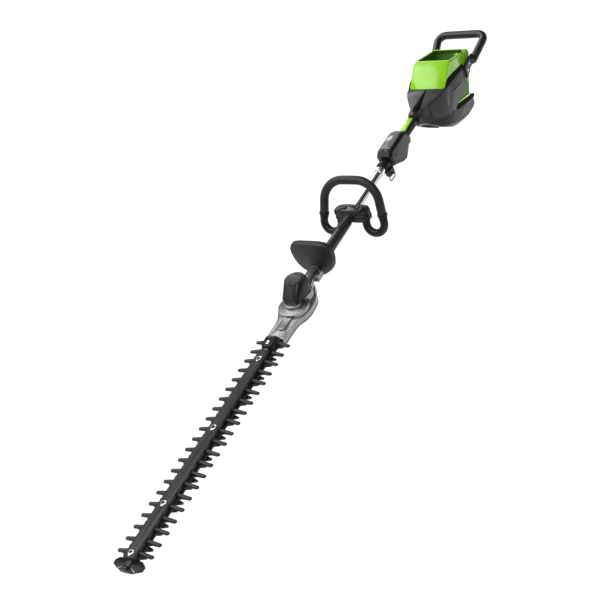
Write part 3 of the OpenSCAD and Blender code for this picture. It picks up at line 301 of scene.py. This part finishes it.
def circle(centre, along, radius, sides):
    """Points of a circle square to a unit direction, its radius in metres."""
    helper = Vector((0, 0, 1)) if abs(along.z) < 0.9 else Vector((0, 1, 0))
    a = along.cross(helper).normalized()
    b = a.cross(along)
    return [centre + (a * math.cos(t) + b * math.sin(t)) * radius
            for t in (2 * math.pi * k / sides for k in range(sides))]


def prism(name, corners, depth, body, slot, edge=0.6, material=None):
    """Straight prism from drawing corners along the depth vector, its edges rounded."""
    shift = Vector(depth) * MM
    low = [at(*c) for c in corners]
    n = len(low)
    faces = [tuple(range(n)), tuple(range(2 * n - 1, n - 1, -1))]
    faces += [(i, i + n, (i + 1) % n + n, (i + 1) % n) for i in range(n)]
    piece = solid(name, low + [c + shift for c in low], faces, body, slot, material)
    if edge:
        bevel = piece.modifiers.new("round", "BEVEL")
        bevel.width = edge * MM
        bevel.segments = 2
        bevel.angle_limit = math.radians(30)
        apply_modifiers(piece)
        finish_mesh(piece.data, 50)
    return piece


def side_prism(name, outline, y0, y1, body, slot, edge=0.6, material=None):
    """Prism drawn in side view, as points of x and z, from y0 to y1."""
    corners = [(x, y0, z) for x, z in outline]
    return prism(name, corners, (0, y1 - y0, 0), body, slot, edge, material)


def bead(name, points, radius, body, slot, material=None):
    """Round bead along a closed line of drawing points."""
    sides = 12
    path = [at(*p) for p in points]
    rings = []
    for behind, here, ahead in zip(path[-1:] + path, path, path[1:] + path[:1]):
        rings += circle(here, (ahead - behind).normalized(), radius * MM, sides)
    return solid(name, rings, strips(len(path), sides, True), body, slot, material)


def ring_about(name, start, end, profile, body, slot, material=None):
    """Turned part: profile gives (distance from start, radius) pairs along the axis start-end."""
    sides = 48
    axis = (end - start).normalized()
    rows = [circle(start + axis * (d * MM), axis, r * MM, sides) for d, r in profile]
    points = [v for row in rows for v in row]
    return solid(name, points, strips(len(rows), sides, True), body, slot, material, 35)


def loft(name, rings, body, slot):
    """Skin over oval sections; each is (x, y, z, half width in y, half height in z)."""
    sides = 28
    points = [at(x, y + wide * math.cos(t), z + high * math.sin(t)) for x, y, z, wide, high in rings
              for t in (2 * math.pi * k / sides for k in range(sides))]
    last = (len(rings) - 1) * sides
    ends = [tuple(range(sides)), tuple(range(last + sides - 1, last - 1, -1))]
    return solid(name, points, strips(len(rings), sides, False) + ends, body, slot)


def apply_modifiers(piece):
    """Replaces the mesh with what its modifiers make of it, and drops them."""
    bpy.context.view_layer.update()
    shown = piece.evaluated_get(bpy.context.evaluated_depsgraph_get())
    made = bpy.data.meshes.new_from_object(shown)
    piece.modifiers.clear()
    piece.data = made


def welded_copy(node, flat_deg=0.6):
    """The node's surface as whole faces: corners welded, flat triangles joined."""
    source = NODES[node].data
    bm = bmesh.new()
    bm.from_mesh(source)
    for layer in list(bm.loops.layers.float_vector):
        bm.loops.layers.float_vector.remove(layer)
    bmesh.ops.remove_doubles(bm, verts=bm.verts, dist=2e-6)
    bmesh.ops.dissolve_limit(bm, angle_limit=math.radians(flat_deg), verts=bm.verts, edges=bm.edges)
    corners = [v.co.copy() for v in bm.verts]
    bm.verts.index_update()
    faces = [[v.index for v in f.verts] for f in bm.faces]
    bm.free()
    mesh = bpy.data.meshes.new(node + "_skin")
    mesh.from_pydata(corners, [], faces)
    mesh.validate()
    return mesh


def rounded(node, width, segments=2, angle=34):
    """The node's shape with its edges rounded, in the node's place."""
    mesh = welded_copy(node)
    mesh.materials.append(MAT[SLOT_OF[node]])
    piece = new_piece(node + "_skin", mesh, NODES[node]["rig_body"], SLOT_OF[node])
    bevel = piece.modifiers.new("round", "BEVEL")
    bevel.width = width
    bevel.segments = segments
    bevel.limit_method = "ANGLE"
    bevel.angle_limit = math.radians(angle)
    bevel.use_clamp_overlap = True
    normals = piece.modifiers.new("normals", "WEIGHTED_NORMAL")
    normals.keep_sharp = True
    apply_modifiers(piece)
    finish_mesh(piece.data, 50)
    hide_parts(node)
    return piece


# Width of each skin's rounded edges, in millimetres
SKINS = {
    "tip_guard": 0.8, "comb_guard": 0.5, "guide_bar": 0.8, "blade_shields": 0.5, "blade_bolts": 0.4,
    "root_cap": 1.4, "root_screw": 0.5, "gearbox_upper_case": 0.9, "gearbox_lower_case": 0.8,
    "motor_cover": 1.2, "motor_lid": 0.7, "motor_lid_screws": 0.3, "hand_shield": 1.0,
    "loop_bracket_left": 0.8, "loop_bracket_right": 0.8, "handle_clamp_upper": 1.6,
    "handle_clamp_lower": 1.6, "clamp_bolts": 0.5, "chrome_collar": 0.6, "harness_clamp": 0.7,
    "control_shell_left": 1.3, "control_shell_right": 1.3, "control_panel": 1.2, "trigger": 1.6,
    "lockoff_lever": 1.1, "grip_shell_left": 0.5, "grip_shell_right": 0.5, "battery_bay": 1.4,
    "battery_latch": 0.8, "front_shell": 1.0, "side_cover_left": 1.6, "side_cover_right": 1.6,
    "lower_housing": 1.4, "rear_handle": 1.2, "tube_sleeve": 0.5, "tube_clamp_screws": 0.3,
    "bay_terminal": 0.5, "loop_screws": 0.3, "rear_handle_screws": 0.4, "loop_grip": 1.2,
    "housing_screws": 0.3, "main_tube": 0.3,
}
CUTTER_EDGE = 0.7
SKIN = {}


def build_skins():
    for node, width in SKINS.items():
        SKIN[node] = rounded(node, width * MM)
    for node in ("cutter_blade_upper", "cutter_blade_lower"):
        SKIN[node] = rounded(node, CUTTER_EDGE * MM, 1, 60)


def dress_cad_nodes():
    for node, obj in NODES.items():
        obj.data.materials.clear()
        obj.data.materials.append(MAT[SLOT_OF[node]])


dress_cad_nodes()
build_skins()


# ---- Rear body -----------------------------------------------------------------------------
# The rear body's own drawing axis stands above the pole's axis
REAR_RISE = 8
# Side views of the battery's room and of the hollow in front of it, a little past their walls
ROOM = [(1866, 90), (1857.2, 64), (1821.2, -63), (1908, -91), (1919.8, -89.5), (1941.8, -42), (1967.8, -5),
        (1985.8, 20), (1984.8, 60)]
HOLLOW = [(1845, 67), (1783, 24.5), (1787, -21), (1795, -57), (1817, -59), (1853, 62)]
MOUTH_FRONT = (1852, 75)
MOUTH_BACK = (1988, 34)
MOUTH_SLOPE = (MOUTH_FRONT[1] - MOUTH_BACK[1]) / (MOUTH_BACK[0] - MOUTH_FRONT[0])
BAY_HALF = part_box("battery_bay")[1].y / MM
# Pieces on the bay's sides stand this far off them
OFF_FACE = 0.05


def rear(points):
    return [(x, z + REAR_RISE) for x, z in points]


def mouth_height(x):
    """Height of the bay's leaning mouth, in the rear body's own drawing."""
    return MOUTH_FRONT[1] - (x - MOUTH_FRONT[0]) * MOUTH_SLOPE


def paint_bay_shade():
    """Painted shade: the grained inside is a darker green, which only the open mouth shows."""
    wall, lip = 4, 1.6

    def hidden(x, y, z, normal):
        z -= REAR_RISE
        deep = mouth_height(x) - z > lip
        return abs(y) < BAY_HALF - wall and deep and (inside(x, z, ROOM) or inside(x, z, HOLLOW))
    repaint(SKIN["battery_bay"], GREEN_PAINTED_SHADE, hidden)


def paint_shells():
    """Black lower nose and collar under the grey upper nose; grey flanks on the black belly."""
    seam, collar_end = -14, 1686
    repaint(SKIN["front_shell"], MAT["dark_plastic"], lambda x, y, z, normal: x < collar_end or z < seam,
            [((collar_end, 0, 0), (1, 0, 0)), ((0, 0, seam), (0, 0, 1))])
    front, half, top = 1800, 46, -80
    repaint(SKIN["lower_housing"], MAT["grey_plastic"],
            lambda x, y, z, normal: abs(y) > half and x > front and z < top,
            [((front, 0, 0), (1, 0, 0)), ((0, half, 0), (0, 1, 0)), ((0, -half, 0), (0, 1, 0))])


def on_bay_side(name, side, outline, thick, slot, edge, material):
    """Flat piece on one side of the bay, drawn in side view."""
    face = side * BAY_HALF
    side_prism(name, rear(outline), face + side * OFF_FACE, face + side * thick, "frame", slot, edge,
               material)


def build_side_details(side, name):
    # black channel between the green bay and the side cover, darker and duller than the black plastic as
    # painted shade of the gap
    channel = [(1779, 21.2), (1896, 9.3), (1926, 5.4), (1928, 17), (1900, 22), (1856, 32), (1812, 37),
               (1798, 35), (1782, 25)]
    on_bay_side("channel_" + name, side, channel, 3.4, "black_plastic", 1.2, BLACK_PAINTED_SHADE)
    # recess behind the cover as a thin sheet of dark green painted shade, its ledge in a lighter green as
    # painted highlight, and the channel under it in dull near-black painted shade
    recess = [(1836, -66), (1924.4, -42), (1936, -56), (1920, -86), (1906, -86)]
    on_bay_side("recess_" + name, side, recess, 0.5, "green_plastic", 0, GREEN_PAINTED_SHADE)
    ledge = [(1834, -66.5), (1840, -65), (1921, -87.5), (1921, -92), (1914, -92)]
    on_bay_side("ledge_" + name, side, ledge, 3.4, "green_plastic", 0.8, GREEN_PAINTED_HIGHLIGHT)
    lower = [(1812, -70), (1826, -68.5), (1914, -93), (1938, -100), (1950, -108), (1944, -117), (1914, -109),
             (1826, -86)]
    on_bay_side("lower_channel_" + name, side, lower, 2.4, "black_plastic", 0.8, BLACK_PAINTED_SHADE)
    # each arm of the handle runs into its foot
    sections = [(1966, 65.1, -2, 3.9, 13.5), (1972, 66.4, -3, 5.4, 14.2), (1979, 67.6, -4, 8.6, 14),
                (1987, 68.5, -6.5, 12, 13.7), (1994, 69.4, -5, 13.3, 13.8)]
    rings = [(x, side * y, z + REAR_RISE, wide, high) for x, y, z, wide, high in sections]
    loft("handle_root_" + name, rings, "frame", "handle_plastic")
    # slanted ribs along the cover
    out = side * (BAY_HALF + 4)
    for i in range(3):
        drop, front = 11 * i, 1812 + 8 * i
        rib = [(front, 8 - drop), (1896, -1 - drop), (1896, -5 - drop), (front, 4 - drop)]
        side_prism(f"cover_rib_{name}_{i + 1}", rear(rib), out - side * 0.2, out + side * 1.1, "frame",
                   "grey_plastic", 0.5)


def build_mouth_bead():
    half, corner = BAY_HALF - 3, 3
    front, back = 1854, 1985
    plan = [(front, corner - half), (front, half - corner), (front + corner, half), (back - corner, half),
            (back, half - corner), (back, corner - half), (back - corner, -half), (front + corner, -half)]
    # the bead round the mouth takes the lighter green of a painted highlight
    bead("mouth_bead", [(x, y, mouth_height(x) + REAR_RISE) for x, y in plan], 1.3, "frame", "green_plastic",
         GREEN_PAINTED_HIGHLIGHT)


def build_nose_details():
    # black spine that carries the neck's line up to the bay, darker and duller than the black plastic as
    # painted shade
    spine = [(0, 15), (22, 18.6), (116, 11.4), (116, 2), (0, 2)]
    ring_about("nose_spine", at(1666, 0, 4), at(1781, 0, 20.5), spine, "frame", "black_plastic", BLACK_PAINTED_SHADE)
    # collar where the neck enters the nose
    collar = [(0, 15.2), (0, 18.5), (2, 20.5), (14, 22), (16, 20.5), (16, 15.2)]
    ring_about("nose_collar", at(1651, 0, 0), at(1700, 0, 0), collar, "frame", "dark_plastic")
    # ribs under the front of the belly
    for i in range(5):
        x, z, half = 1716 + 9 * i, -64 - 7 * i, 17
        corners = [(x, -half, z), (x + 3, -half, z - 2.5), (x + 3, half, z - 2.5), (x, half, z)]
        prism(f"belly_vent_{i + 1}", corners, (-2.2, 0, -3.6), "frame", "grey_plastic", 0.4)


# ---- Controls, loop, shield and bar --------------------------------------------------------
def paint_tube():
    """Dark end band between the sleeve and the loop's clamp."""
    front, back = 1150, 1176
    repaint(SKIN["main_tube"], MAT["sleeve_plastic"], lambda x, y, z, normal: front < x < back,
            [((front, 0, 0), (1, 0, 0)), ((back, 0, 0), (1, 0, 0))])


def paint_controls():
    """Black band around the panel, black front end and black lower front corner on the grey housing."""
    front, band, low, corner = 1447, 26, -30, 1500
    cuts = [((front, 0, 0), (1, 0, 0)), ((0, 0, band), (0, 0, 1)), ((0, 0, low), (0, 0, 1)),
            ((corner, 0, 0), (1, 0, 0))]
    for side in ("left", "right"):
        repaint(SKIN["control_shell_" + side], MAT["black_plastic"],
                lambda x, y, z, normal: z > band or x < front or (z < low and x < corner), cuts)


LOOP_X = 1197
LOOP_LEAN = math.radians(22)
LOOP_SIDE_LEAN = math.radians(8)


def on_loop(u, v):
    """Point of the loop's leaning plane: u sideways, v up the lean."""
    return at(LOOP_X + v * math.sin(LOOP_LEAN), u, v * math.cos(LOOP_LEAN))


def build_loop_details():
    # ends of the grip and of the bracket where they meet, each from this far back along the tube
    joint = Vector((94.55, -3.14))
    down = Vector((math.sin(LOOP_SIDE_LEAN), -math.cos(LOOP_SIDE_LEAN)))
    grip_end = [(0, 12.5), (0, 13.9), (1, 14.6), (8, 14.6), (9, 13.8), (9, 11.4)]
    bracket_end = [(0, 11.2), (0, 12.6), (0.8, 13), (3, 13), (3.6, 12.4), (3.6, 11.2)]
    for side, name in ((-1, "left"), (1, "right")):
        for k, (back, profile) in enumerate(((5, grip_end), (-7, bracket_end))):
            p0 = joint - down * back
            p1 = joint + down * 20
            ring_about(f"loop_collar_{name}_{k + 1}", on_loop(side * p0.x, p0.y), on_loop(side * p1.x, p1.y),
                       profile, "loop", "black_plastic")
    # two raised bands around the clamp's rim
    quarter = [(23, 30), (19, 47), (8.5, 55.2)]
    plan = [(-x, -y) for x, y in quarter] + [(x, -y) for x, y in quarter[::-1]]
    plan += [(x, y) for x, y in quarter] + [(-x, y) for x, y in quarter[::-1]]
    for k, (low, high) in enumerate(((5, 8.5), (-10.5, -7))):
        prism(f"clamp_band_{k + 1}", [(LOOP_X + x, y, low) for x, y in plan], (0, 0, high - low), "loop",
              "black_plastic", 1.2)


def build_shield_rim():
    rim_x, rim_r = 970.5, 2.1
    middle, inset = 27, 0.985
    half = [(0, -29), (14, -27), (28, -19), (45, -7), (57, 11), (63.5, 32), (65.5, 50), (64, 63), (57, 75),
            (45, 81), (30, 83)]
    outline = half + [(0, 83.5)] + [(-y, z) for y, z in half[:0:-1]]
    line = [(rim_x, y * inset, (z - middle) * inset + middle) for y, z in outline]
    bead("shield_rim", line, rim_r, "frame", "shield_plastic")


LATCH_X, LATCH_Y = 1946, -52
TRIGGER_SPRING_X = 1536


def build_springs():
    """Copies of the two return springs, baked in place; the ends worked out for each below are not used, so
    the springs do not shorten.
    """
    slope = math.atan(MOUTH_SLOPE)
    seat = Vector((LATCH_X, LATCH_Y, mouth_height(LATCH_X) + REAR_RISE))
    up = Vector((math.sin(slope), 0, math.cos(slope)))
    for node, body, start, end in (
            ("latch_spring", "latch", seat - up * 14, seat - up * 8.2),
            ("trigger_spring", "trigger", (TRIGGER_SPRING_X, 0, -14), (TRIGGER_SPRING_X, 0, -33))):
        mesh = welded_copy(node)
        mesh.materials.append(MAT[SLOT_OF[node]])
        finish_mesh(mesh, 40)
        piece = bpy.data.objects.new(node + "_skin", mesh)
        bpy.context.scene.collection.objects.link(piece)
        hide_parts(node)
        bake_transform(piece)


def build_bar_details():
    # light inlays in the tip plate's slots
    wide, long = 1.35, 8.2
    for side in (-1, 1):
        turn = math.radians(26.5 * side)
        corners = []
        for u, v in ((-wide, -long), (wide, -long), (wide, long), (-wide, long)):
            x = -42.5 + u * math.cos(turn) - v * math.sin(turn)
            y = side * 20 + u * math.sin(turn) + v * math.cos(turn)
            corners.append((x, y, -22.3))
        prism(f"tip_inlay_{side + 2}", corners, (0, 0, 0.95), "frame", "black_plastic", 0.3,
              MAT["cast_aluminium"])
    # bright key between the rail's end and the root cap
    key = [(647, -6, -8), (651, -6, -8), (651, 6, -8), (647, 6, -8)]
    prism("rail_key", key, (0, 0, -11), "frame", "bright_steel", 0.5, MAT["cast_aluminium"])


paint_bay_shade()
paint_shells()
build_side_details(-1, "left")
build_side_details(1, "right")
build_mouth_bead()
build_nose_details()
paint_tube()
paint_controls()
build_loop_details()
build_shield_rim()
build_bar_details()
build_springs()


# ---- Stage, lights and camera --------------------------------------------------------------
FLOOR_Z = -0.45
FLOOR_HALF = 60
FLOOR_COLOR = (0.93, 0.93, 0.93)
SQUARE = ((-1, -1), (1, -1), (1, 1), (-1, 1))


def stage_sheet(name, corners, material):
    """Flat four-cornered part of the studio."""
    mesh = bpy.data.meshes.new(name)
    mesh.from_pydata(corners, [], [(0, 1, 2, 3)])
    sheet = bpy.data.objects.new(name, mesh)
    bpy.context.scene.collection.objects.link(sheet)
    mesh.materials.append(material)
    return sheet


def build_floor():
    mat = new_material("floor", FLOOR_COLOR, 0.9, specular=0.1)
    vary_color(mat, FLOOR_COLOR, 2, 0.99, 1.01)
    corners = [(u * FLOOR_HALF, v * FLOOR_HALF, FLOOR_Z) for u, v in SQUARE]
    floor = stage_sheet("floor", corners, mat)


def build_dark_card():
    """What the bright tube mirrors as its dark middle band; neither seen nor shading anything."""
    centre = Vector((1.15, -0.85, POLE_Z + 0.95))
    toward = Vector((0.6, -0.53, 0.59)).normalized()
    across = toward.cross(Vector((1, 0, 0))).normalized()
    along = across.cross(toward)
    half_long, half_wide = 0.9, 0.3
    corners = [centre + along * u * half_long + across * v * half_wide for u, v in SQUARE]
    mat = new_material("dark card", (0.002, 0.002, 0.002), 1.0, specular=0.0)
    card = stage_sheet("dark_card", corners, mat)
    card.visible_camera = False
    card.visible_shadow = False


def area_light(name, place, aim, size, power):
    lamp = bpy.data.lights.new(name, "AREA")
    lamp.energy = power
    lamp.shape = "RECTANGLE"
    lamp.size = size
    lamp.size_y = size
    obj = bpy.data.objects.new(name, lamp)
    obj.location = place
    obj.rotation_euler = (Vector(aim) - Vector(place)).to_track_quat("-Z", "Y").to_euler()
    bpy.context.scene.collection.objects.link(obj)


def build_lights():
    world = bpy.data.worlds.new("studio")
    world.use_nodes = True
    world.node_tree.nodes["Background"].inputs["Color"].default_value = (1, 1, 1, 1)
    world.node_tree.nodes["Background"].inputs["Strength"].default_value = 0.22
    bpy.context.scene.world = world
    # a broad overhead glow whitens the floor everywhere, however far away
    glow = bpy.data.lights.new("glow", "SUN")
    glow.energy = 3.1
    glow.angle = math.radians(75)
    obj = bpy.data.objects.new("glow", glow)
    obj.rotation_euler = Vector((-0.25, 0.55, 1)).to_track_quat("Z", "Y").to_euler()
    bpy.context.scene.collection.objects.link(obj)
    build_dark_card()
    area_light("key", (-1.4, -1.6, 2.6), (0.1, 0, 0.1), 0.7, 22)
    area_light("rim", (2.4, 1.8, 1.4), (0.6, 0, 0.2), 0.9, 16)


# Solved for the product shot: seen from the front, its left and above
CAMERA_AT = Vector((-2.1129, -1.6988, POLE_Z + 1.8653))
CAMERA_FORWARD = Vector((0.6058, 0.5333, -0.5904))
CAMERA_UP = Vector((0.6649, 0.0683, 0.7438))
CAMERA_LENS = 71.96


def build_camera():
    cam = bpy.data.cameras.new("camera")
    cam.lens = CAMERA_LENS
    cam.sensor_width = 36
    cam.clip_end = 50
    obj = bpy.data.objects.new("camera", cam)
    back = -CAMERA_FORWARD.normalized()
    right = CAMERA_UP.cross(back).normalized()
    up = back.cross(right)
    obj.matrix_world = Matrix.Translation(CAMERA_AT) @ Matrix((right, up, back)).transposed().to_4x4()
    bpy.context.scene.collection.objects.link(obj)
    bpy.context.scene.camera = obj


build_floor()
build_lights()
build_camera()
bpy.context.scene.view_settings.view_transform = "Standard"

bpy.context.view_layer.update()
